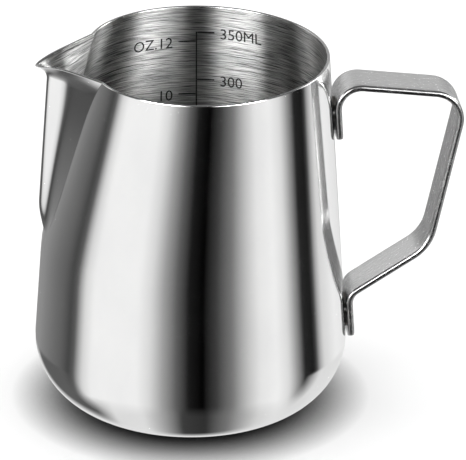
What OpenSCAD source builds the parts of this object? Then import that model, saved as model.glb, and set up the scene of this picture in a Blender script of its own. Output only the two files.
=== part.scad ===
// Milk frothing pitcher: a drawn steel cup with a pressed pouring spout and a bent strap handle.
// Origin: centre of the standing ring. +Z is up, the handle points along +X and the spout along -X.

/* [Cup] */
// Height of the rim above the table
height = 93; // [88:0.5:110]
// Largest outside radius, just above the rounded base corner
base_r = 39.5; // [38:0.5:44]
// Outside radius of the rim beside the handle
rim_r = 34.4; // [33:0.1:36]
// Outside radius of the rounded base corner
corner_r = 17.3; // [12:0.1:18]
// Thickness of the sheet
wall = 0.8; // [0.6:0.1:1.2]
// Radius of the shallow recess under the base
recess_r = 18; // [12:0.5:20]
// Depth of the shallow recess under the base
recess_h = 0.8; // [0.4:0.1:1.2]

/* [Spout] */
// Height at which the pressed spout starts
spout_foot = 46.5; // [44:0.5:52]
// Half of the spout's width between its creases, at the rim
crease_half_w = 17.4; // [14:0.1:19]
// Distance from the cup's axis to the tip of the lip
lip_reach = 39.3; // [37:0.1:43]
// Height of the flared lip below the rim
lip_h = 5; // [4:0.5:10]
// How far the lip droops at the spout's tip
lip_droop = 1.5; // [0:0.1:2]
// How far the spout's nose stands proud of the wall
nose_proud = 1.4; // [0.5:0.1:3]
// Height of the rounded ridge down the nose, measured outwards from the spout's flanks
ridge_h = 2.1; // [1:0.1:2.5]
// How far the wall is drawn in beside the spout, at the rim
draw_in = 5.3; // [3:0.1:5.5]
// Depth of the pressed step along each crease
crease_step = 0.3; // [0.1:0.05:0.4]

/* [Handle] */
// Width of the strap
strap_w = 12; // [8:0.5:16]
// Thickness of the strap
strap_t = 1.6; // [1.2:0.1:2.4]
// Rounding of the strap's long edges
strap_edge_r = 0.7; // [0.2:0.1:0.7]
// Height at which the upper arm leaves the wall
upper_arm_z = 85.4; // [82:0.1:87]
// Distance from the cup's axis to the grip's upper corner
grip_top_x = 68.8; // [60:0.1:76]
// Height of the grip's upper corner
grip_top_z = 81.6; // [78:0.1:84]
// Distance from the cup's axis to the grip's lower corner
grip_low_x = 60; // [54:0.1:68]
// Height of the grip's lower corner
grip_low_z = 40.9; // [36:0.1:50]
// Height at which the lower arm meets the wall
lower_arm_z = 28; // [27:0.1:31]
// Height of the upper tab's free end
upper_tab_z = 70.4; // [68:0.1:73]
// Height of the lower tab's free end
lower_tab_z = 16.2; // [15:0.1:18]
// Gap that the weld spots leave between tab and wall
weld_gap = 0.25; // [0.2:0.05:0.4]
// Radius of one weld spot
weld_r = 2; // [1.5:0.1:2.4]

/* [Volume scale] */
// Direction of the scale round the cup, measured from the handle
scale_angle = 82.5; // [60:0.5:120]
// Width of the marked lines
line_w = 0.35; // [0.3:0.05:0.6]
// Length of one tick
tick_length = 4.4; // [3:0.1:6]

/* [Hidden] */

// Base corner: an arc round (corner_x, corner_r), then a straight wall that leans in to the rim.
corner_x = base_r - corner_r;
corner_to_rim = norm([rim_r - corner_x, height - corner_r]);
wall_lean = asin(corner_r / corner_to_rim) - atan2(rim_r - corner_x, height - corner_r);
arc_top_z = corner_r + corner_r * sin(wall_lean);
arc_top_r = corner_x + corner_r * cos(wall_lean);

// Spout shape. Each power sets how a feature grows from the foot of the spout to the rim.
crease_power = 0.32;
crease_end_half_w = 3.5;
crease_flare = 4.4;
crease_flare_power = 7;
nose_rise_h = 9;
nose_round = 0.6;
lip_round = 3;
ridge_foot_w = 2.1;
ridge_top_w = 3.2;
ridge_lip_w = 5;
lip_power = 1.8;
lip_droop_w = 4.2;
draw_in_foot = 42;
draw_in_power = 1.35;
draw_in_reach = 112;
crease_rim_angle = 36;
crease_edge = 0.985;
ridge_crowding = 0.6;
spout_steps = 26;
side_steps = 30;
rise_steps = 20;
corner_steps = 10;
cut_margin = 1;

// Volume scale. 1 fluid ounce is 28.41 ml, and the marks are a thin film.
ounce_ml = 28.41;
mark_film = 0.1;
ml_marks = [100, 150, 200, 250, 300, 350];
ounce_marks = [4, 6, 8, 10, 12];
scale_low_ml = 90;
scale_top_margin = 0.2;
tick_gap = 0.05;
tick_steps = 4;
line_steps = 24;
volume_steps = 40;

// Handle sweep
upper_bend_r = 5.6;
grip_top_r = 7.2;
grip_low_r = 11.2;
lower_bend_r = 4;
tab_end_r = 2.5;
bend_steps = 10;
tab_end_steps = 5;
edge_steps = 3;
weld_from_end = [3.2, 8.2];
weld_sink = 0.1;

function clamp01(v) = min(1, max(0, v));

// Outside radius of the plain cup at height z.
function cup_r(z) = z < arc_top_z
    ? corner_x + sqrt(max(0, corner_r ^ 2 - (corner_r - z) ^ 2))
    : arc_top_r - (z - arc_top_z) * tan(wall_lean);

// Share of the height between a foot and the rim at z: 0 at the foot, 1 at the rim.
function rise_from(foot, z) = clamp01((z - foot) / (height - foot));
function rise(z) = rise_from(spout_foot, z);
function lip_share(z) = rise_from(height - lip_h, z);

// Outside radius at height z and at angle a from the spout, drawn in towards the creases.
function drawn_r(z, a) = let (
    up = rise_from(draw_in_foot, z) ^ draw_in_power,
    near = max(0, draw_in_reach - a) / (draw_in_reach - crease_rim_angle)
) cup_r(z) - draw_in * up * near ^ 2;

function crease_w(z) = max(crease_end_half_w,
    (crease_half_w - crease_flare) * rise(z) ^ crease_power + crease_flare * rise(z) ^ crease_flare_power);

function crease_angle(z) = let (
    w = crease_w(z),
    first = asin(w / cup_r(z)),
    second = asin(w / drawn_r(z, first))
) asin(w / drawn_r(z, second));

// Distance from the axis to the nose of the spout at height z. It swells quickly out of the drawn wall.
function nose_x(z) = let (
    out = 1 - (1 - clamp01((z - spout_foot) / nose_rise_h)) ^ 2,
    flare = lip_reach - rim_r - nose_proud,
    foot = drawn_r(z, 0)
) foot + (cup_r(z) + nose_proud - foot) * out + flare * lip_share(z) ^ lip_power;

function tanh(v) = 1 - 2 / (exp(2 * v) + 1);
function bell(v) = exp(-v ^ 2);

// Distance towards the spout at height z and sideways place y: a ridge on a V with a rounded tip.
function spout_x(z, y) = let (
    w = crease_w(z),
    step = crease_step * rise(z) ^ crease_power,
    depth = nose_x(z) - drawn_r(z, crease_angle(z)) * cos(crease_angle(z)) + step,
    straight_ridge_w = ridge_foot_w + (ridge_top_w - ridge_foot_w) * rise(z),
    ridge_w = straight_ridge_w + (ridge_lip_w - ridge_top_w) * lip_share(z),
    ridge = ridge_h * tanh(depth / ridge_h),
    v_depth = depth - ridge * (1 - bell(w / ridge_w)),
    tip = nose_round + (lip_round - nose_round) * lip_share(z),
    spread = w / sqrt(v_depth ^ 2 + 2 * tip * v_depth)
) nose_x(z) + tip - sqrt((y / spread) ^ 2 + tip ^ 2) - ridge * (1 - bell(y / ridge_w));

function polar(r, a) = [-r * cos(a), r * sin(a)];

// Plan outline of the wall's outer face at height z, starting at one crease and going over the spout.
// Its points are crowded at the ridge and at the creases.
function outline(z) = let (
    a0 = crease_angle(z)
) concat(
    [for (i = [0 : spout_steps]) let (
        u = 2 * i / spout_steps - 1,
        y = crease_w(z) * crease_edge * (u - ridge_crowding * sin(360 * u) / (2 * PI))
    ) [-spout_x(z, y), -y]],
    [for (i = [0 : 2 * side_steps]) polar(
        drawn_r(z, a0 + (180 - a0) * min(i, 2 * side_steps - i) / side_steps),
        -(a0 + (360 - 2 * a0) * i / (2 * side_steps)))]
);

// The same outline moved inwards by d, point by point along its normals.
function inset(points, d) = [for (i = [0 : len(points) - 1]) let (
    n = len(points),
    before = points[(i + n - 1) % n],
    after = points[(i + 1) % n],
    along = (after - before) / norm(after - before)
) points[i] - d * [along.y, -along.x]];

// The outline at height z. The lip droops towards the spout's tip.
function at_height(points, z) = let (
    droop = lip_droop * lip_share(z) ^ 2
) [for (p = points) [p.x, p.y, z - (p.x < 0 ? droop * bell(p.y / lip_droop_w) : 0)]];

// Interior volume in ml up to height z, away from the spout.
function inner_r(z) = z < arc_top_z
    ? corner_x + sqrt(max(0, (corner_r - wall) ^ 2 - (corner_r - z) ^ 2))
    : cup_r(z) - wall / cos(wall_lean);
function sum(list, i = 0) = i < len(list) ? list[i] + sum(list, i + 1) : 0;
slab_h = (arc_top_z - wall) / volume_steps;
base_ml = sum([for (i = [0.5 : volume_steps]) PI * inner_r(wall + i * slab_h) ^ 2 * slab_h]) / 1000;

// Height of the surface of a given volume of milk, from the volume of a cone frustum.
function milk_z(ml) = let (
    r0 = inner_r(arc_top_z),
    r = (r0 ^ 3 - 3 * tan(wall_lean) * (ml - base_ml) * 1000 / PI) ^ (1 / 3)
) arc_top_z + (r0 - r) / tan(wall_lean);

// Handle centreline in the XZ plane, as corner points with a bend radius at each.
tab_offset = weld_gap + strap_t / 2;
function tab_x(z) = arc_top_r - (z - arc_top_z) * tan(wall_lean) + tab_offset / cos(wall_lean);
strap_corners = [
    [tab_x(upper_tab_z), upper_tab_z],
    [tab_x(upper_arm_z), upper_arm_z],
    [grip_top_x, grip_top_z],
    [grip_low_x, grip_low_z],
    [tab_x(lower_arm_z), lower_arm_z],
    [tab_x(lower_tab_z), lower_tab_z]
];
strap_bends = [upper_bend_r, grip_top_r, grip_low_r, lower_bend_r];

function unit(v) = v / norm(v);
function turn(v) = [-v.y, v.x];

// Points and sideways normals round one bend.
function bend(before, corner, after, r) = let (
    d1 = unit(corner - before),
    d2 = unit(after - corner),
    angle = acos(d1 * d2),
    side = sign(d1.x * d2.y - d1.y * d2.x),
    start = corner - d1 * r * tan(angle / 2),
    centre = start + side * r * turn(d1)
) [for (i = [0 : bend_steps]) let (
    a = side * angle * i / bend_steps,
    n = [turn(d1).x * cos(a) - turn(d1).y * sin(a), turn(d1).x * sin(a) + turn(d1).y * cos(a)]
) [centre - side * r * n, n]];

// Half-width of the strap at distance d from a tab's free end.
function tab_half_w(d) = strap_w / 2 - tab_end_r + sqrt(tab_end_r ^ 2 - (tab_end_r - d) ^ 2);

// Stations along a rounded tab end: distance from the end grows as a cosine.
function tab_end(point, along, n, backwards) = [for (i = [0 : tab_end_steps]) let (
    k = backwards ? tab_end_steps - i : i,
    d = tab_end_r * (1 - cos(90 * (k + 0.5) / (tab_end_steps + 0.5)))
) [point + (backwards ? -d : d) * along, n, tab_half_w(d)]];

function strap_stations() = let (
    c = strap_corners,
    d_first = unit(c[1] - c[0]),
    d_last = unit(c[5] - c[4])
) concat(
    tab_end(c[0], d_first, turn(d_first), false),
    [for (k = [0 : 3]) for (s = bend(c[k], c[k + 1], c[k + 2], strap_bends[k])) [s[0], s[1], strap_w / 2]],
    tab_end(c[5], d_last, turn(d_last), true)
);

// Rounded rectangle across the strap at one station.
function strap_section(station) = let (
    half_w = station[2] - strap_edge_r,
    half_t = strap_t / 2 - strap_edge_r
) [for (q = [0 : 3]) for (i = [0 : edge_steps]) let (
    a = 90 * (q + i / edge_steps),
    y = (q == 0 || q == 3 ? half_w : -half_w) + strap_edge_r * cos(a),
    n = (q < 2 ? half_t : -half_t) + strap_edge_r * sin(a),
    p = station[0] + n * station[1]
) [p.x, y, p.y]];

// Skin between rings of equal length; closed ends are capped.
function ring_faces(rings, count) = [for (k = [0 : rings - 2]) for (i = [0 : count - 1]) let (
    j = (i + 1) % count,
    a = k * count,
    b = a + count
) each [[a + i, b + j, a + j], [a + i, b + i, b + j]]];

module swept(rings) {
    count = len(rings[0]);
    last = (len(rings) - 1) * count;
    polyhedron(
        points = [for (ring = rings) each ring],
        faces = concat(
            ring_faces(len(rings), count),
            [[for (i = [0 : count - 1]) i]],
            [[for (i = [count - 1 : -1 : 0]) last + i]]
        )
    );
}

// Heights of the rings of points from the base to the rim.
arc_heights = [for (i = [0 : corner_steps]) let (a = (90 + wall_lean) * i / corner_steps)
    corner_r * (1 - cos(a))];
spout_heights = [for (i = [0 : rise_steps])
    spout_foot + (height - spout_foot) * (1 - cos(180 * i / rise_steps)) / 2];

// Outer or inner ring of points at height z. The base corner's inner arc shares the outer one's centre.
function outer_ring(z) = at_height(outline(z), z);
function inner_corner_ring(z) = let (
    outer = outline(z),
    share = (corner_r - wall) / corner_r,
    r = corner_x + (cup_r(z) - corner_x) * share
) at_height([for (p = outer) p * r / norm(p)], corner_r - (corner_r - z) * share);
function inner_ring(z) = at_height(inset(outline(z), wall / cos(wall_lean)), z);

// The drawn sheet as one closed skin: outside going up, over the rim, inside going down.
module drawn_sheet() {
    rings = concat(
        [for (z = arc_heights) outer_ring(z)],
        [for (z = spout_heights) outer_ring(z)],
        [for (k = [rise_steps : -1 : 0]) inner_ring(spout_heights[k])],
        [for (k = [corner_steps : -1 : 0]) inner_corner_ring(arc_heights[k])]
    );
    swept(rings);
}

// The base is dished upwards inside the standing ring.
module base_recess() {
    translate([0, 0, -cut_margin]) cylinder(h = cut_margin + recess_h, r = recess_r, $fn = 96);
}

// The same dish seen from inside the cup. It starts halfway through the sheet, so that the two fuse.
module raised_floor() {
    translate([0, 0, wall / 2]) cylinder(h = wall / 2 + recess_h, r = recess_r + wall, $fn = 96);
}

module body_shell() {
    color("silver") difference() {
        union() {
            drawn_sheet();
            raised_floor();
        }
        base_recess();
    }
}

module handle_strap() {
    color("lightgray") swept([for (s = strap_stations()) strap_section(s)]);
}

// Weld spots between a tab and the wall, at given distances from the tab's free end.
module weld_spots(end_z) {
    for (d = weld_from_end) {
        translate([cup_r(end_z + d), 0, end_z + d])
            rotate([0, 90 - wall_lean, 0])
            translate([0, 0, -weld_sink])
            cylinder(h = weld_sink + weld_gap, r = weld_r, $fn = 48);
    }
}

module upper_weld_spots() {
    color("gray") weld_spots(upper_tab_z);
}

module lower_weld_spots() {
    color("gray") weld_spots(lower_tab_z);
}

// Inner face of the wall at height z and at an angle round the cup from the handle, moved inwards by d.
function on_inner_wall(z, angle, d) = let (
    r = drawn_r(z, 180 - angle) - wall / cos(wall_lean) - d
) [r * cos(angle), r * sin(angle), z];

// One marked bar on the inner wall, from angle a1 to a2 round the cup and from z1 to z2.
module wall_bar(a1, a2, z1, z2, steps) {
    swept([for (i = [0 : steps]) let (a = a1 + (a2 - a1) * i / steps) [
        on_inner_wall(z1, a, mark_film),
        on_inner_wall(z2, a, mark_film),
        on_inner_wall(z2, a, 0),
        on_inner_wall(z1, a, 0)
    ]]);
}

// The upright line of the scale, from z1 to z2.
module main_line(half_angle, z1, z2) {
    swept([for (i = [0 : line_steps]) let (z = z1 + (z2 - z1) * i / line_steps) [
        on_inner_wall(z, scale_angle - half_angle, 0),
        on_inner_wall(z, scale_angle + half_angle, 0),
        on_inner_wall(z, scale_angle + half_angle, mark_film),
        on_inner_wall(z, scale_angle - half_angle, mark_film)
    ]]);
}

// One tick beside the main line. Side 1 is counter-clockwise round the cup, -1 clockwise.
module tick(ml, side) {
    z = milk_z(ml);
    degrees = 360 / (2 * PI * inner_r(z));
    near = (line_w / 2 + tick_gap) * degrees;
    far = near + tick_length * degrees;
    wall_bar(scale_angle + (side > 0 ? near : -far), scale_angle + (side > 0 ? far : -near),
        z - line_w / 2, z + line_w / 2, tick_steps);
}

module volume_scale() {
    color("dimgray") {
        half_angle = 360 * line_w / (4 * PI * rim_r);
        main_line(half_angle, milk_z(scale_low_ml), milk_z(ml_marks[len(ml_marks) - 1]) + scale_top_margin);
        for (ml = ml_marks) tick(ml, -1);
        for (oz = ounce_marks) tick(oz * ounce_ml, 1);
    }
}

body_shell();
handle_strap();
upper_weld_spots();
lower_weld_spots();
volume_scale();
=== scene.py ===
"""Milk frothing pitcher: a polished drawn cup, a satin strap handle and an etched volume scale."""
import math

import bmesh
import bpy
import numpy as np
from mathutils import Matrix, Vector


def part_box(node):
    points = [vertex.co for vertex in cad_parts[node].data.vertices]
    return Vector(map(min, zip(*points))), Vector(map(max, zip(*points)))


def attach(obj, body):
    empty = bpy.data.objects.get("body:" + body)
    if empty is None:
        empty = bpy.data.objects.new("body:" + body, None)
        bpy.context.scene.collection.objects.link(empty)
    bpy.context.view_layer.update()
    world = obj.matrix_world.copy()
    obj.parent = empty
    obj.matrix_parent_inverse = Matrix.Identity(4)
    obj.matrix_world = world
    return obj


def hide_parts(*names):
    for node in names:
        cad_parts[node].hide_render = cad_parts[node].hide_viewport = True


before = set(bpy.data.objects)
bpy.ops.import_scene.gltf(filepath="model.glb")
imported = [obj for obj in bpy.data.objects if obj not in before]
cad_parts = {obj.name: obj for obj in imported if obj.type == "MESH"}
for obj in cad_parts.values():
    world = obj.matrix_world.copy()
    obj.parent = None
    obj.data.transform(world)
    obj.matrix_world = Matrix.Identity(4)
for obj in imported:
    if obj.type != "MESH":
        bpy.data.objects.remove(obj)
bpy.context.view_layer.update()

MM = 0.001

# Cup, in millimetres. The rim's height comes from the frame.
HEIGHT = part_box("body_shell")[1].z / MM
BASE_R = 39.5
RIM_R = 34.4
CORNER_R = 17.3
WALL = 0.8
RECESS_R = 18.0
RECESS_H = 0.8
RECESS_ROUND = 0.6
RIM_ROUND_H = 0.3

# Spout
SPOUT_FOOT = 46.5
CREASE_HALF_W = 17.4
CREASE_FLARE = 4.4
CREASE_END_HALF_W = 3.5
CREASE_POWER = 0.32
CREASE_FLARE_POWER = 7
CREASE_STEP = 0.3
CREASE_EDGE = 0.985
CREASE_RIM_ANGLE = 36.0
LIP_REACH = 39.3
LIP_H = 5.0
LIP_POWER = 1.8
LIP_DROOP = 1.5
LIP_DROOP_W = 4.2
NOSE_PROUD = 1.4
NOSE_RISE_H = 9.0
NOSE_ROUND = 0.6
LIP_ROUND = 3.0
RIDGE_H = 2.1
RIDGE_FOOT_W = 2.1
RIDGE_TOP_W = 3.2
RIDGE_LIP_W = 5.0
DRAW_IN = 5.3
DRAW_IN_FOOT = 42.0
DRAW_IN_POWER = 1.35
DRAW_IN_REACH = 112.0

# Handle strap
STRAP_W = 12.0
STRAP_T = 1.6
STRAP_EDGE_R = 0.7
WELD_GAP = 0.25
TAB_END_R = 2.5
UPPER_TAB_Z, UPPER_ARM_Z = 70.4, 85.4
GRIP_TOP, GRIP_LOW = (68.8, 81.6), (60.0, 40.9)
LOWER_ARM_Z, LOWER_TAB_Z = 28.0, 16.2
STRAP_BENDS = (5.6, 7.2, 11.2, 4.0)

# Volume scale
SCALE_ANGLE = 82.5
OUNCE_ML = 28.41
ML_MARKS = (350, 300, 250, 200, 150, 100)
OUNCE_MARKS = (12, 10, 8, 6, 4)
TICK_LENGTH = 4.4
NUMERAL_GAP = 1.8
NUMERAL_H = 2.9
NUMERAL_DROP = 0.25
NUMERAL_FILM = 0.06

# Mesh density
SPOUT_COLUMNS = 72
SIDE_COLUMNS = 72
CREASE_CROWDING = 0.7
RIDGE_CROWDING = 0.6
INSET_REACH = 3
CORNER_ROWS = 28
STRAIGHT_ROWS = 8
SPOUT_ROWS = 72
RIM_STEPS = 8
DISH_FLAT_STEPS = 4
DISH_EDGE_STEPS = 6
BEND_STEPS = 22
TAB_END_STEPS = 10
TAB_END_START = 0.35
STRAP_EDGE_STEPS = 6
STRAP_FLAT_STEPS = 6
STRAP_STRAIGHT_STEP = 3.0
MILK_SLABS = 40

# Derived shape of the cup's side: an arc at the base corner, then a straight wall leaning in.
CORNER_X = BASE_R - CORNER_R
LEAN = math.asin(CORNER_R / math.hypot(RIM_R - CORNER_X, HEIGHT - CORNER_R)) - math.atan2(
    RIM_R - CORNER_X, HEIGHT - CORNER_R
)
ARC_TOP_Z = CORNER_R + CORNER_R * math.sin(LEAN)
ARC_TOP_R = CORNER_X + CORNER_R * math.cos(LEAN)


def ease(v):
    t = np.clip(v, 0, 1)
    return t * t * (3 - 2 * t)


def cup_r(z):
    """Outside radius of the plain cup at height z."""
    if z < ARC_TOP_Z:
        return CORNER_X + math.sqrt(max(0, CORNER_R**2 - (CORNER_R - z) ** 2))
    return ARC_TOP_R - (z - ARC_TOP_Z) * math.tan(LEAN)


def rise(z, foot=SPOUT_FOOT):
    """Share of the height from a foot to the rim: 0 at the foot, 1 at the rim."""
    return min(1, max(0, (z - foot) / (HEIGHT - foot)))


def drawn_r(z, a):
    """Outside radius at angle a from the spout, drawn in towards the creases."""
    near = np.maximum(0, DRAW_IN_REACH - a) / (DRAW_IN_REACH - CREASE_RIM_ANGLE)
    return cup_r(z) - DRAW_IN * rise(z, DRAW_IN_FOOT) ** DRAW_IN_POWER * near**2


def crease_w(z):
    t = rise(z)
    w = (CREASE_HALF_W - CREASE_FLARE) * t**CREASE_POWER + CREASE_FLARE * t**CREASE_FLARE_POWER
    return max(CREASE_END_HALF_W, w)


def crease_angle(z):
    r = cup_r(z)
    for _ in range(3):
        a = math.degrees(math.asin(crease_w(z) / r))
        r = drawn_r(z, a)
    return a


def lip_share(z):
    return rise(z, HEIGHT - LIP_H)


def nose_x(z):
    """Reach of the nose: it swells quickly out of the drawn wall, then flares at the lip."""
    out = 1 - (1 - min(1, max(0, (z - SPOUT_FOOT) / NOSE_RISE_H))) ** 2
    flare = LIP_REACH - RIM_R - NOSE_PROUD
    foot = float(drawn_r(z, 0))
    return foot + (cup_r(z) + NOSE_PROUD - foot) * out + flare * lip_share(z) ** LIP_POWER


def spout_x(z, y):
    """How far the spout reaches at height z and sideways place y: a ridge on a V with a round tip."""
    a, w = crease_angle(z), crease_w(z)
    step = CREASE_STEP * rise(z) ** CREASE_POWER
    depth = nose_x(z) - drawn_r(z, a) * math.cos(math.radians(a)) + step
    ridge_w = RIDGE_FOOT_W + (RIDGE_TOP_W - RIDGE_FOOT_W) * rise(z)
    ridge_w += (RIDGE_LIP_W - RIDGE_TOP_W) * lip_share(z)
    ridge_h = RIDGE_H * math.tanh(depth / RIDGE_H)
    v_depth = depth - ridge_h * (1 - math.exp(-((w / ridge_w) ** 2)))
    tip = NOSE_ROUND + (LIP_ROUND - NOSE_ROUND) * lip_share(z)
    spread = w / math.sqrt(v_depth**2 + 2 * tip * v_depth)
    v_fall = np.sqrt((y / spread) ** 2 + tip**2) - tip
    return nose_x(z) - v_fall - ridge_h * (1 - np.exp(-((y / ridge_w) ** 2)))


def outline(z):
    """Plan of the wall's outer face at height z, with the columns crowded at the creases."""
    w, a0 = crease_w(z), crease_angle(z)
    u = np.linspace(-1, 1, SPOUT_COLUMNS + 1)
    y = w * CREASE_EDGE * (u - RIDGE_CROWDING * np.sin(2 * math.pi * u) / (2 * math.pi))
    spout = np.stack([-spout_x(z, y), -y], 1)
    s = np.linspace(0, 1, 2 * SIDE_COLUMNS + 1)
    s = s - CREASE_CROWDING * np.sin(2 * math.pi * s) / (2 * math.pi)
    turn = a0 + (360 - 2 * a0) * s
    r = drawn_r(z, np.minimum(turn, 360 - turn))
    turn = np.radians(turn)
    side = np.stack([-r * np.cos(turn), -r * np.sin(turn)], 1)
    return np.concatenate([spout, side])


def inset(points, d):
    """The outline moved inwards by d along its normals, which are smoothed across the creases."""
    along = sum(np.roll(points, -k, 0) - np.roll(points, k, 0) for k in range(1, INSET_REACH + 1))
    along /= np.linalg.norm(along, axis=1)[:, None]
    return points - d * np.stack([along[:, 1], -along[:, 0]], 1)


def at_height(points, z):
    """The outline at height z. The lip droops towards the spout's tip."""
    droop = LIP_DROOP * lip_share(z) ** 2 * np.exp(-((points[:, 1] / LIP_DROOP_W) ** 2))
    return np.column_stack([points, z - np.where(points[:, 0] < 0, droop, 0)])


def round_ring(r, z):
    """Ring of radius r at height z whose points lie under those of the base outline."""
    base = outline(0)
    return at_height(base * (r / np.linalg.norm(base, axis=1))[:, None], z)


def inner_corner_ring(z):
    share = (CORNER_R - WALL) / CORNER_R
    return round_ring(CORNER_X + (cup_r(z) - CORNER_X) * share, CORNER_R - (CORNER_R - z) * share)


def dish_rings(edge_r, low_z, high_z):
    """Rings of a shallow raised dish from its middle out to the flat round it."""
    flat = [round_ring(edge_r * k / DISH_FLAT_STEPS, high_z) for k in range(1, DISH_FLAT_STEPS)]
    radii = np.linspace(edge_r - RECESS_ROUND, edge_r + RECESS_ROUND, DISH_EDGE_STEPS + 1)
    drop = ease((radii - radii[0]) / (radii[-1] - radii[0]))
    return flat + [round_ring(r, high_z + (low_z - high_z) * d) for r, d in zip(radii, drop)]


def rim_rings(lower_z):
    """Rounded edge of the sheet, from the outer face over to the inner one."""
    outer, inner = outline(lower_z), inset(outline(lower_z), WALL / math.cos(LEAN))
    rings = []
    for a in np.linspace(0, math.pi, RIM_STEPS + 1)[1:-1]:
        share = (1 - math.cos(a)) / 2
        rings.append(at_height(outer + (inner - outer) * share, lower_z + RIM_ROUND_H * math.sin(a)))
    return rings


def cup_rings():
    """Every ring of the cup's skin with its finish: from under the base up, over the rim and down."""
    arc = [CORNER_R * (1 - math.cos(a)) for a in np.linspace(0, math.pi / 2 + LEAN, CORNER_ROWS)]
    straight = list(np.linspace(ARC_TOP_Z, SPOUT_FOOT, STRAIGHT_ROWS + 2)[1:-1])
    rim_z = HEIGHT - RIM_ROUND_H
    turns = np.linspace(0, math.pi, SPOUT_ROWS)
    spout = [SPOUT_FOOT + (rim_z - SPOUT_FOOT) * (1 - math.cos(a)) / 2 for a in turns]
    outside = [at_height(outline(z), z) for z in arc + straight + spout]
    thickness = WALL / math.cos(LEAN)
    inside = [at_height(inset(outline(z), thickness), z) for z in reversed(straight + spout)]
    corner = [inner_corner_ring(z) for z in reversed(arc)]
    under = dish_rings(RECESS_R, 0, RECESS_H)
    floor = dish_rings(RECESS_R + WALL, WALL, WALL + RECESS_H)
    finishes = [
        (under + outside, "outer"),
        (rim_rings(rim_z), "rim"),
        (inside + corner + floor[::-1], "inner"),
    ]
    return [(ring, finish) for rings, finish in finishes for ring in rings]


def mesh_object(name, points, faces, materials, face_slots):
    """Closed mesh from points in millimetres. face_slots gives each face its material's place."""
    mesh = bpy.data.meshes.new(name)
    mesh.from_pydata([tuple(p) for p in np.asarray(points) * MM], [], faces)
    for m in materials:
        mesh.materials.append(m)
    mesh.polygons.foreach_set("material_index", face_slots)
    mesh.polygons.foreach_set("use_smooth", [True] * len(faces))
    mesh.update()
    piece = bpy.data.objects.new(name, mesh)
    bpy.context.scene.collection.objects.link(piece)
    return piece


def skin_faces(rings, count):
    """Four-sided faces between neighbouring rings of count points."""
    faces = []
    for a in range(0, (rings - 1) * count, count):
        b = a + count
        for i in range(count):
            j = (i + 1) % count
            faces.append((a + i, b + i, b + j, a + j))
    return faces


def add_attribute(piece, name, values):
    attribute = piece.data.attributes.new(name, "FLOAT", "POINT")
    attribute.data.foreach_set("value", np.asarray(values, np.float32))


def build_cup(outer, rim, inner):
    """The whole cup as one closed skin. Its profile attribute is the distance along the section."""
    rings = cup_rings()
    count = len(rings[0][0])
    points = np.concatenate([ring for ring, _ in rings])
    faces = skin_faces(len(rings), count)
    slots = {"outer": 0, "rim": 1, "inner": 2}
    face_slots = [slots[finish] for _, finish in rings[:-1] for _ in range(count)]
    middle_under, middle_floor = len(points), len(points) + 1
    last = (len(rings) - 1) * count
    points = np.vstack([points, [0, 0, RECESS_H], [0, 0, WALL + RECESS_H]])
    for i in range(count):
        faces.append((middle_under, i, (i + 1) % count))
        faces.append((middle_floor, last + (i + 1) % count, last + i))
        face_slots += [slots["outer"], slots["inner"]]
    cup = mesh_object("pitcher_cup", points, faces, [outer, rim, inner], face_slots)
    steps = [np.linalg.norm(b[0] - a[0], axis=1).mean() for a, b in zip(rings, rings[1:])]
    profile = np.concatenate([[0], np.cumsum(steps)])
    floor_middle = profile[-1] + RECESS_R / DISH_FLAT_STEPS
    add_attribute(cup, "profile", np.append(np.repeat(profile, count), [0, floor_middle]))
    return cup


def inner_r(z):
    """Inside radius away from the spout."""
    if z < ARC_TOP_Z:
        return CORNER_X + math.sqrt(max(0, (CORNER_R - WALL) ** 2 - (CORNER_R - z) ** 2))
    return cup_r(z) - WALL / math.cos(LEAN)


def milk_z(ml):
    """Height of the surface of a given volume of milk."""
    slab_h = (ARC_TOP_Z - WALL) / MILK_SLABS
    middles = [WALL + (i + 0.5) * slab_h for i in range(MILK_SLABS)]
    base = sum(math.pi * inner_r(z) ** 2 * slab_h for z in middles)
    r0 = inner_r(ARC_TOP_Z)
    r = (r0**3 - 3 * math.tan(LEAN) * (ml * 1000 - base) / math.pi) ** (1 / 3)
    return ARC_TOP_Z + (r0 - r) / math.tan(LEAN)


def unit(v):
    return v / np.linalg.norm(v)


def turned(v):
    """The plane vector v turned left by a quarter turn."""
    return np.array([-v[1], v[0]])


def strap_bend(before, corner, after, r):
    """Stations round one bend of the strap: centreline point, normal and half-width."""
    d1, d2 = unit(corner - before), unit(after - corner)
    angle = math.acos(float(d1 @ d2))
    side = math.copysign(1, d1[0] * d2[1] - d1[1] * d2[0])
    centre = corner - d1 * r * math.tan(angle / 2) + side * r * turned(d1)
    stations = []
    for i in range(BEND_STEPS + 1):
        a = side * angle * i / BEND_STEPS
        spin = np.array([[math.cos(a), -math.sin(a)], [math.sin(a), math.cos(a)]])
        n = spin @ turned(d1)
        stations.append((centre - side * r * n, n, STRAP_W / 2))
    return stations


def tab_end(point, along, backwards):
    """Stations of a tab's rounded free end, crowded towards its tip."""
    stations = []
    for k in range(TAB_END_STEPS + 1):
        share = (k + TAB_END_START) / (TAB_END_STEPS + TAB_END_START)
        d = TAB_END_R * (1 - math.cos(math.pi / 2 * share))
        half_w = STRAP_W / 2 - TAB_END_R + math.sqrt(TAB_END_R**2 - (TAB_END_R - d) ** 2)
        stations.append((point + (-d if backwards else d) * along, turned(along), half_w))
    return stations[::-1] if backwards else stations


def beside_wall(z):
    """Centre of the strap where it runs along the wall at height z."""
    offset = (WELD_GAP + STRAP_T / 2) / math.cos(LEAN)
    return np.array([ARC_TOP_R - (z - ARC_TOP_Z) * math.tan(LEAN) + offset, z])


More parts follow.
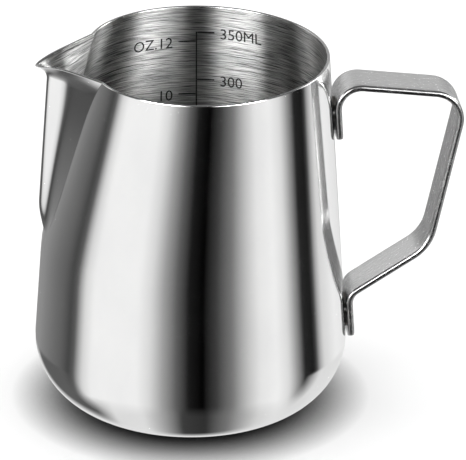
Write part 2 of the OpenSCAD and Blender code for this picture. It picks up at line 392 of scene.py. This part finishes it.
def strap_stations():
    """Stations of the whole strap, from the upper tab's free end to the lower tab's."""
    c = [beside_wall(UPPER_TAB_Z), beside_wall(UPPER_ARM_Z), np.array(GRIP_TOP), np.array(GRIP_LOW)]
    c += [beside_wall(LOWER_ARM_Z), beside_wall(LOWER_TAB_Z)]
    stations = tab_end(c[0], unit(c[1] - c[0]), False)
    for k, r in enumerate(STRAP_BENDS):
        stations += strap_bend(c[k], c[k + 1], c[k + 2], r)
    return stations + tab_end(c[5], unit(c[5] - c[4]), True)


def with_straights(stations):
    """The same stations with more added along the straight runs."""
    full = [stations[0]]
    for a, b in zip(stations, stations[1:]):
        cuts = max(1, math.ceil(np.linalg.norm(b[0] - a[0]) / STRAP_STRAIGHT_STEP))
        full += [tuple(p + (q - p) * k / cuts for p, q in zip(a, b)) for k in range(1, cuts + 1)]
    return full


def strap_section(half_w):
    """Points (across, out, is_edge) round the strap's section, counter-clockwise."""
    half_flat, half_t = half_w - STRAP_EDGE_R, STRAP_T / 2 - STRAP_EDGE_R
    corners = [(half_flat, half_t), (-half_flat, half_t), (-half_flat, -half_t), (half_flat, -half_t)]
    points = []
    for q, (y, n) in enumerate(corners):
        for i in range(STRAP_EDGE_STEPS + 1):
            a = math.pi / 2 * (q + i / STRAP_EDGE_STEPS)
            edge = i < STRAP_EDGE_STEPS or q % 2 == 1
            points.append((y + STRAP_EDGE_R * math.cos(a), n + STRAP_EDGE_R * math.sin(a), edge))
        if q % 2 == 0:
            points += [
                (y * (1 - 2 * k / STRAP_FLAT_STEPS), n + math.copysign(STRAP_EDGE_R, n), False)
                for k in range(1, STRAP_FLAT_STEPS)
            ]
    return points


def build_handle(face, edge):
    """The bent strap. Its across and along attributes are the place on the strap laid flat."""
    stations = with_straights(strap_stations())
    points, across, along, distance = [], [], [], 0.0
    for k, (p, n, half_w) in enumerate(stations):
        distance += float(np.linalg.norm(p - stations[k - 1][0])) if k else 0.0
        for y, out, _ in strap_section(half_w):
            q = p + out * n
            points.append((q[0], y, q[1]))
            across.append(y)
            along.append(distance)
    section = strap_section(STRAP_W / 2)
    count = len(section)
    faces = [f[::-1] for f in skin_faces(len(stations), count)]
    face_slots = [int(is_edge) for _ in stations[1:] for _, _, is_edge in section]
    last = (len(stations) - 1) * count
    faces += [tuple(range(count)), tuple(last + i for i in reversed(range(count)))]
    face_slots += [1, 1]
    handle = mesh_object("strap_handle", points, faces, [face, edge], face_slots)
    add_attribute(handle, "across", across)
    add_attribute(handle, "along", along)
    return handle


def text_points(words):
    """Flat mesh of one word in the built-in font: triangles in units of the font's size."""
    curve = bpy.data.curves.new("numeral", "FONT")
    curve.body = words
    curve.extrude = 0.5
    text = bpy.data.objects.new("numeral", curve)
    bpy.context.scene.collection.objects.link(text)
    mesh = bpy.data.meshes.new_from_object(text.evaluated_get(bpy.context.evaluated_depsgraph_get()))
    bpy.data.objects.remove(text)
    bm = bmesh.new()
    bm.from_mesh(mesh)
    bmesh.ops.remove_doubles(bm, verts=bm.verts, dist=1e-5)
    bmesh.ops.triangulate(bm, faces=bm.faces)
    bmesh.ops.recalc_face_normals(bm, faces=bm.faces)
    points = np.array([v.co for v in bm.verts])
    faces = [tuple(v.index for v in f.verts) for f in bm.faces]
    bm.free()
    return points, faces


def wrapped(points, z0):
    """Points (distance clockwise from the scale's line, height above z0, depth) on the inner wall."""
    placed = []
    for s, h, d in points:
        z = z0 + h
        turn = SCALE_ANGLE - math.degrees(s / inner_r(z0))
        r = float(drawn_r(z, 180 - turn)) - WALL / math.cos(LEAN) - d
        placed.append((r * math.cos(math.radians(turn)), r * math.sin(math.radians(turn)), z))
    return placed


def build_numerals(material):
    """Generic volume numbers beside the ticks: the unit goes with the top one on each side."""
    marks = [("350ML" if ml == 350 else str(ml), ml, 1) for ml in ML_MARKS]
    marks += [("OZ.12" if oz == 12 else str(oz), oz * OUNCE_ML, -1) for oz in OUNCE_MARKS]
    all_points, all_faces = [], []
    digit = text_points("0")[0]
    scale = NUMERAL_H / (digit[:, 1].max() - digit[:, 1].min())
    for words, ml, side in marks:
        points, faces = text_points(words)
        x, y = points[:, 0] * scale, points[:, 1] * scale
        start = TICK_LENGTH + NUMERAL_GAP
        x = x - x.min() + start if side > 0 else x - x.max() - start
        film = np.where(points[:, 2] > 0, NUMERAL_FILM, -NUMERAL_FILM / 2)
        flat = np.stack([x, y - NUMERAL_H / 2 - NUMERAL_DROP, film], 1)
        all_faces += [tuple(i + len(all_points) for i in f) for f in faces]
        all_points += wrapped(flat, milk_z(ml))
    piece = mesh_object("volume_numerals", all_points, all_faces, [material], [0] * len(all_faces))
    piece.data.polygons.foreach_set("use_smooth", [False] * len(all_faces))
    return piece


# ---------------------------------------------------------------- materials
# Brushing inside the cup: each kind of scratch has a length, a pitch (both in mm) and a slant. It
# stretches highlights up the wall, a quarter turn from its own direction.
SCRATCH_KINDS = ((11.0, 0.11, 0.02), (6.0, 0.09, -0.03))
SCRATCH_WAVE = 0.25
QUARTER_TURN = 0.25
STRAP_GRAIN_PER_MM = (9, 0.25, 1)


def add(tree, kind, inputs=None, **settings):
    """One node. An input given as a socket is linked, any other value is set."""
    made = tree.nodes.new(kind)
    for key, value in settings.items():
        setattr(made, key, value)
    for key, value in (inputs or {}).items():
        if isinstance(value, bpy.types.NodeSocket):
            tree.links.new(value, made.inputs[key])
        else:
            made.inputs[key].default_value = value
    return made


def new_material(name, metallic=1.0):
    """A material with a Principled shader, its tree and that shader."""
    material = bpy.data.materials.new(name)
    material.use_nodes = True
    shader = material.node_tree.nodes["Principled BSDF"]
    shader.inputs["Metallic"].default_value = metallic
    return material, material.node_tree, shader


def noise(tree, vector, scale, detail=3.0, roughness=0.55):
    made = add(
        tree,
        "ShaderNodeTexNoise",
        {"Vector": vector, "Scale": scale, "Detail": detail, "Roughness": roughness},
    )
    return made.outputs["Fac"]


def spread(tree, value, low, high, from_low=0.3, from_high=0.7):
    """A 0..1 value mapped onto low..high."""
    inputs = {"Value": value, "From Min": from_low, "From Max": from_high, "To Min": low, "To Max": high}
    return add(tree, "ShaderNodeMapRange", inputs).outputs["Result"]


def grey_mix(tree, factor, dark, light):
    mix = add(tree, "ShaderNodeMix", data_type="RGBA")
    tree.links.new(factor, mix.inputs["Factor"])
    mix.inputs["A"].default_value = (*dark, 1)
    mix.inputs["B"].default_value = (*light, 1)
    return next(o for o in mix.outputs if o.type == "RGBA")


def math_node(tree, operation, a, b):
    return add(tree, "ShaderNodeMath", {0: a, 1: b}, operation=operation).outputs[0]


def object_vector(tree, scale):
    """Object coordinates in metres, stretched by scale."""
    place = add(tree, "ShaderNodeTexCoord").outputs["Object"]
    return add(tree, "ShaderNodeMapping", {"Vector": place, "Scale": scale}).outputs["Vector"]


def attribute(tree, name):
    return add(tree, "ShaderNodeAttribute", attribute_name=name).outputs["Fac"]


def set_color(tree, shader, pattern, dark, light, *span):
    """The shader's colour goes from dark to light with a pattern."""
    color = grey_mix(tree, spread(tree, pattern, 0, 1, *span), dark, light)
    tree.links.new(color, shader.inputs["Base Color"])


def set_roughness(tree, shader, pattern, low, high):
    """The shader's roughness goes from low to high with a pattern."""
    tree.links.new(spread(tree, pattern, low, high), shader.inputs["Roughness"])


def set_bump(tree, shader, pattern, strength, distance):
    """The shader's surface rises and falls with a pattern, by a distance in metres."""
    inputs = {"Height": pattern, "Strength": strength, "Distance": distance}
    tree.links.new(add(tree, "ShaderNodeBump", inputs).outputs["Normal"], shader.inputs["Normal"])


def polished_steel():
    """Mirror polish with a faint haze and fine polishing lines round the cup."""
    material, tree, shader = new_material("polished_steel")
    haze = noise(tree, object_vector(tree, (1, 1, 0.6)), 70, 4)
    lines = noise(tree, object_vector(tree, (40, 40, 2400)), 1, 3, 0.6)
    set_color(tree, shader, haze, (0.85, 0.85, 0.85), (0.90, 0.90, 0.895))
    set_roughness(tree, shader, haze, 0.07, 0.10)
    set_bump(tree, shader, lines, 0.12, 0.00001)
    return material


def rim_steel():
    """The sheet's buffed edge. Its colour is painted shade: darker than the polished outside, to dim the
    rim's bright reflection.
    """
    material, tree, shader = new_material("rim_steel")
    haze = noise(tree, object_vector(tree, (1, 1, 1)), 900, 3)
    # Painted shade: a darker copy of the steel's colour that dims the rim's reflection.
    set_color(tree, shader, haze, (0.42, 0.42, 0.42), (0.52, 0.52, 0.52))
    set_roughness(tree, shader, haze, 0.14, 0.2)
    return material


def scratches(tree, wave, length_mm, pitch_mm, slant):
    """Scratches that run round the cup, with a slight slant and a slow wave."""
    place = add(tree, "ShaderNodeTexCoord").outputs["Object"]
    parts = add(tree, "ShaderNodeSeparateXYZ", {"Vector": place})
    height = math_node(tree, "ADD", attribute(tree, "profile"), wave)
    tilt = math_node(tree, "MULTIPLY", parts.outputs["X"], slant / MM)
    height = math_node(tree, "DIVIDE", math_node(tree, "ADD", height, tilt), pitch_mm)
    stretch = 1 / (length_mm * MM)
    x = math_node(tree, "MULTIPLY", parts.outputs["X"], stretch)
    y = math_node(tree, "MULTIPLY", parts.outputs["Y"], stretch)
    along = add(tree, "ShaderNodeCombineXYZ", {"X": x, "Y": y, "Z": height}).outputs["Vector"]
    return noise(tree, along, 1, 1, 0.6)


def brushed_steel():
    """Inside of the cup: two crossing sets of wavy scratches that stretch highlights up the wall."""
    material, tree, shader = new_material("brushed_steel")
    slow = noise(tree, object_vector(tree, (1, 1, 1)), 160, 2)
    wave = spread(tree, slow, -SCRATCH_WAVE, SCRATCH_WAVE, 0, 1)
    first, second = (scratches(tree, wave, *kind) for kind in SCRATCH_KINDS)
    both = math_node(tree, "MULTIPLY", math_node(tree, "ADD", first, second), 0.5)
    set_color(tree, shader, both, (0.05, 0.05, 0.05), (0.74, 0.74, 0.73), 0.41, 0.58)
    set_roughness(tree, shader, both, 0.38, 0.31)
    set_bump(tree, shader, both, 0.3, 0.00012)
    shader.inputs["Anisotropic"].default_value = 1
    shader.inputs["Anisotropic Rotation"].default_value = QUARTER_TURN
    tangent = add(tree, "ShaderNodeTangent", direction_type="RADIAL", axis="Z")
    tree.links.new(tangent.outputs["Tangent"], shader.inputs["Tangent"])
    return material


def satin_steel():
    """Flat faces of the strap: an even satin grain along its length."""
    material, tree, shader = new_material("satin_steel")
    place = {"X": attribute(tree, "across"), "Y": attribute(tree, "along")}
    grain = add(tree, "ShaderNodeCombineXYZ", place).outputs["Vector"]
    stretched = add(tree, "ShaderNodeMapping", {"Vector": grain, "Scale": STRAP_GRAIN_PER_MM})
    lines = noise(tree, stretched.outputs["Vector"], 1, 4, 0.6)
    set_color(tree, shader, lines, (0.70, 0.70, 0.70), (0.80, 0.80, 0.80))
    set_roughness(tree, shader, lines, 0.22, 0.30)
    set_bump(tree, shader, lines, 0.3, 0.00002)
    return material


def strap_edge_steel():
    """Rounded, polished long edges of the strap. Their colour is painted shade: much darker than the
    faces, to dim the bright reflection along them.
    """
    material, tree, shader = new_material("strap_edge_steel")
    haze = noise(tree, object_vector(tree, (1, 1, 1)), 500, 3)
    # Painted shade: a darker copy of the steel's colour that dims the edges' reflection.
    set_color(tree, shader, haze, (0.34, 0.34, 0.34), (0.44, 0.44, 0.44))
    set_roughness(tree, shader, haze, 0.20, 0.28)
    return material


def weld_steel():
    """Spot welds: rougher grey steel with a faint straw and blue heat tint."""
    material, tree, shader = new_material("weld_steel")
    tint = noise(tree, object_vector(tree, (1, 1, 1)), 700, 3)
    grain = noise(tree, object_vector(tree, (1, 1, 1)), 3500, 4)
    set_color(tree, shader, tint, (0.32, 0.34, 0.40), (0.55, 0.50, 0.42))
    set_roughness(tree, shader, grain, 0.35, 0.55)
    set_bump(tree, shader, grain, 0.4, 0.00008)
    return material


def etched_marks():
    """Dark laser marking with a slightly grainy surface."""
    material, tree, shader = new_material("etched_marks", metallic=0.0)
    grain = noise(tree, object_vector(tree, (1, 1, 1)), 4000, 3)
    set_color(tree, shader, grain, (0.012, 0.012, 0.012), (0.03, 0.03, 0.03))
    set_roughness(tree, shader, grain, 0.55, 0.7)
    shader.inputs["Specular IOR Level"].default_value = 0.05
    return material


# ---------------------------------------------------------------- studio
CAMERA_PLACE = Vector((-108.68, -1135.43, 546.37)) * MM
CAMERA_TURN = math.radians(6.0)
CAMERA_TILT = math.radians(23.71)
CAMERA_ROLL = math.radians(0.43)
CAMERA_LENS = 381.2
SENSOR_W = 36.0

# Brightness of the studio round the pitcher, in degrees to the right of the camera's side: the walls,
# the ground close to the pitcher, and the low ring of soft boxes above the walls.
WALL_BANDS = [
    (-180, 0.40), (-165, 0.29), (-150, 0.28), (-128, 0.19), (-112, 0.13), (-102, 0.065), (-96, 0.11),
    (-87, 0.75), (-78, 0.98), (-40, 0.98), (-30, 0.78), (-20, 0.38), (-10, 0.12), (-1, 0.01),
    (10, 0.0), (20, 0.05), (32, 0.20), (44, 0.60), (54, 0.88), (68, 0.98), (78, 0.80), (86, 0.36),
    (94, 0.02), (104, 0.01), (108, 0.05), (112, 0.40), (118, 0.75), (138, 0.95), (170, 0.80), (180, 0.40),
]
GROUND_BANDS = [
    (-180, 0.30), (-150, 0.05), (-90, 0.06), (-78, 0.08), (-60, 0.80), (-36, 0.82), (-20, 0.40),
    (-6, 0.05), (12, 0.03), (30, 0.20), (54, 0.70), (72, 0.85), (96, 0.70), (130, 0.30),
    (160, 0.45), (180, 0.30),
]
SKY_BANDS = [
    (-180, 0.025), (-150, 0.03), (-132, 0.05), (-110, 0.14), (-100, 0.0), (-64, 0.0), (-56, 0.8),
    (-24, 0.8), (-15, 0.1), (-9, 0.0), (11, 0.0), (22, 0.3), (36, 0.45), (48, 1.0), (59, 1.0),
    (65, 0.0), (104, 0.0), (112, 0.40), (124, 0.40), (134, 0.03), (180, 0.025),
]
SKY_STRENGTH = 25.0
CEILING = 0.25
GROUND_BELT = 0.12
HORIZON_LINE = 0.8
FLOOR_LIGHT = 1.34
BACKDROP = 1.0

# Heights in a direction of length 1 over which one part of the studio fades into the next, and the
# same for its depth behind the pitcher and its place to the right.
SKY_START = (0.15, 0.25)
CEILING_START = (0.42, 0.60)
BELT_START = (-0.42, -0.46)
GROUND_START = (-0.70, -0.90)
FLOOR_LIGHT_START = (-0.10, 0.10)
BEHIND = (0.10, 0.40)
HORIZON_LINE_START = (-0.42, -0.22)

# Floor: a painted contact shadow darkens its colour within reach (in metres) of the pitcher.
FLOOR_HALF_W = 30.0
FLOOR_TONE = 0.9
PAINTED_SHADOW_REACH = 0.012
PAINTED_SHADOW_SAMPLES = 8


def make_camera():
    """A long lens a little above the pitcher and to its left."""
    side = Vector((math.cos(CAMERA_TURN), -math.sin(CAMERA_TURN), 0))
    level = Vector((math.sin(CAMERA_TURN), math.cos(CAMERA_TURN), 0))
    look = level * math.cos(CAMERA_TILT) - Vector((0, 0, math.sin(CAMERA_TILT)))
    up = level * math.sin(CAMERA_TILT) + Vector((0, 0, math.cos(CAMERA_TILT)))
    x = side * math.cos(CAMERA_ROLL) + up * math.sin(CAMERA_ROLL)
    y = up * math.cos(CAMERA_ROLL) - side * math.sin(CAMERA_ROLL)
    camera = bpy.data.objects.new("camera", bpy.data.cameras.new("camera"))
    camera.data.lens = CAMERA_LENS
    camera.data.sensor_width = SENSOR_W
    camera.matrix_world = Matrix.Translation(CAMERA_PLACE) @ Matrix((x, y, -look)).transposed().to_4x4()
    bpy.context.scene.collection.objects.link(camera)
    bpy.context.scene.camera = camera


def make_floor():
    """A plain pale floor that mirrors don't show, with a painted contact shadow darkening its colour near
    the pitcher.
    """
    mesh = bpy.data.meshes.new("floor")
    half = FLOOR_HALF_W
    corners = [(-half, -half, 0), (half, -half, 0), (half, half, 0), (-half, half, 0)]
    mesh.from_pydata(corners, [], [(0, 1, 2, 3)])
    floor = bpy.data.objects.new("floor", mesh)
    bpy.context.scene.collection.objects.link(floor)
    material, tree, shader = new_material("floor", metallic=0.0)
    # Painted contact shadow: ambient occlusion darkens the floor's colour where the pitcher is close.
    reach = {"Distance": PAINTED_SHADOW_REACH}
    painted_shadow = add(tree, "ShaderNodeAmbientOcclusion", reach, samples=PAINTED_SHADOW_SAMPLES)
    tone_with_painted_shadow = blend(tree, painted_shadow.outputs["AO"], 0.0, FLOOR_TONE)
    tree.links.new(tone_with_painted_shadow, shader.inputs["Base Color"])
    shader.inputs["Roughness"].default_value = 0.9
    shader.inputs["Specular IOR Level"].default_value = 0
    mesh.materials.append(material)
    floor.visible_glossy = False


def band_ramp(tree, turn, bands, strength=1.0):
    """Brightness for a direction's turn from the camera's side, -1 to 1 half turns."""
    ramp = add(tree, "ShaderNodeValToRGB", {"Fac": spread(tree, turn, 0, 1, -1, 1)})
    elements = ramp.color_ramp.elements
    while len(elements) > 1:
        elements.remove(elements[-1])
    for k, (degrees, level) in enumerate(bands):
        place = (degrees + 180) / 360
        element = elements[0] if k == 0 else elements.new(place)
        element.position = place
        element.color = (level, level, level, 1)
    scaled = {0: ramp.outputs["Color"], 1: (strength, strength, strength)}
    return add(tree, "ShaderNodeVectorMath", scaled, operation="MULTIPLY").outputs[0]


def blend(tree, factor, first, second):
    """The first level, or the second one where the factor is 1. A level is a socket or a number."""
    first, second = ((v, v, v, 1) if isinstance(v, float) else v for v in (first, second))
    mix = add(tree, "ShaderNodeMix", {"Factor": factor}, data_type="RGBA")
    for key, value in (("A", first), ("B", second)):
        socket = next(i for i in mix.inputs if i.type == "RGBA" and i.name == key)
        if isinstance(value, tuple):
            socket.default_value = value
        else:
            tree.links.new(value, socket)
    return next(o for o in mix.outputs if o.type == "RGBA")


def fade(tree, value, start_end):
    """0 at the first of two values, 1 at the second."""
    return spread(tree, value, 0, 1, *start_end)


def studio_level(tree):
    """Brightness of the studio by direction.

    Upwards from below the pitcher: the ground close to it, banded walls, a low ring of soft boxes and
    an even ceiling. Behind the pitcher a belt of darker ground lies under the walls, and a bright line
    of horizon runs along it on the right. Walls and ground are banded by the direction of an upright
    mirror that would show them to the camera, so that a band runs straight down a curved side.
    """
    place = add(tree, "ShaderNodeTexCoord").outputs["Generated"]
    inputs = {"Vector": place, "Angle": CAMERA_TURN}
    level = add(tree, "ShaderNodeVectorRotate", inputs, rotation_type="Z_AXIS")
    parts = add(tree, "ShaderNodeSeparateXYZ", {"Vector": level.outputs["Vector"]})
    height = parts.outputs["Z"]
    side = parts.outputs["X"]
    toward = math_node(tree, "MULTIPLY", parts.outputs["Y"], -1.0)
    facing = math_node(tree, "ADD", toward, math.cos(CAMERA_TILT))
    half_turn = math_node(tree, "DIVIDE", math_node(tree, "ARCTAN2", side, facing), math.pi / 2)
    turn = math_node(tree, "DIVIDE", math_node(tree, "ARCTAN2", side, toward), math.pi)
    walls = band_ramp(tree, half_turn, WALL_BANDS)
    behind = fade(tree, parts.outputs["Y"], BEHIND)
    belt = math_node(tree, "MULTIPLY", behind, fade(tree, height, BELT_START))
    belt_level = blend(tree, fade(tree, side, HORIZON_LINE_START), GROUND_BELT, HORIZON_LINE)
    low = blend(tree, belt, walls, belt_level)
    ground = band_ramp(tree, half_turn, GROUND_BANDS)
    below = blend(tree, fade(tree, height, GROUND_START), low, ground)
    sky = band_ramp(tree, turn, SKY_BANDS, SKY_STRENGTH)
    above = blend(tree, fade(tree, height, CEILING_START), sky, CEILING)
    return blend(tree, fade(tree, height, SKY_START), below, above)


def floor_level(tree):
    """Even light from above for the floor, and none from below for what mirrors it."""
    place = add(tree, "ShaderNodeTexCoord").outputs["Generated"]
    height = add(tree, "ShaderNodeSeparateXYZ", {"Vector": place}).outputs["Z"]
    return spread(tree, height, 0, FLOOR_LIGHT, *FLOOR_LIGHT_START)


def background(tree, color, strength=1.0):
    return add(tree, "ShaderNodeBackground", {"Color": color, "Strength": strength}).outputs[0]


def either(tree, factor, first, second):
    """The first background, or the second one where the factor is 1."""
    mix = add(tree, "ShaderNodeMixShader", {"Fac": factor})
    tree.links.new(first, mix.inputs[1])
    tree.links.new(second, mix.inputs[2])
    return mix.outputs[0]


def make_world():
    """The studio for reflections, an even light for the floor and a plain backdrop for the camera."""
    white = (1, 1, 1, 1)
    world = bpy.data.worlds.new("studio")
    bpy.context.scene.world = world
    world.use_nodes = True
    world.cycles.sampling_method = "NONE"
    tree = world.node_tree
    tree.nodes.clear()
    ray = add(tree, "ShaderNodeLightPath")
    mirrored = background(tree, studio_level(tree))
    floor_light = background(tree, white, floor_level(tree))
    backdrop = background(tree, white, BACKDROP)
    from_floor = math_node(tree, "MINIMUM", ray.outputs["Diffuse Depth"], 1.0)
    light = either(tree, from_floor, mirrored, floor_light)
    seen = either(tree, ray.outputs["Is Camera Ray"], light, backdrop)
    tree.links.new(seen, add(tree, "ShaderNodeOutputWorld").inputs["Surface"])


def place_piece(piece, node):
    """A piece rides on the pitcher, and takes the place of its CAD node where it has one."""
    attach(piece, "root")
    if node:
        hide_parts(node)


def dress_node(name, material):
    """A CAD node that stays gets its material and slot."""
    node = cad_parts[name]
    node.data.materials.clear()
    node.data.materials.append(material)


make_camera()
make_floor()
make_world()
marks, welds = etched_marks(), weld_steel()
place_piece(build_cup(polished_steel(), rim_steel(), brushed_steel()), "body_shell")
place_piece(build_handle(satin_steel(), strap_edge_steel()), "handle_strap")
place_piece(build_numerals(marks), None)
dress_node("volume_scale", marks)
dress_node("upper_weld_spots", welds)
dress_node("lower_weld_spots", welds)
bpy.context.scene.view_settings.view_transform = "Standard"
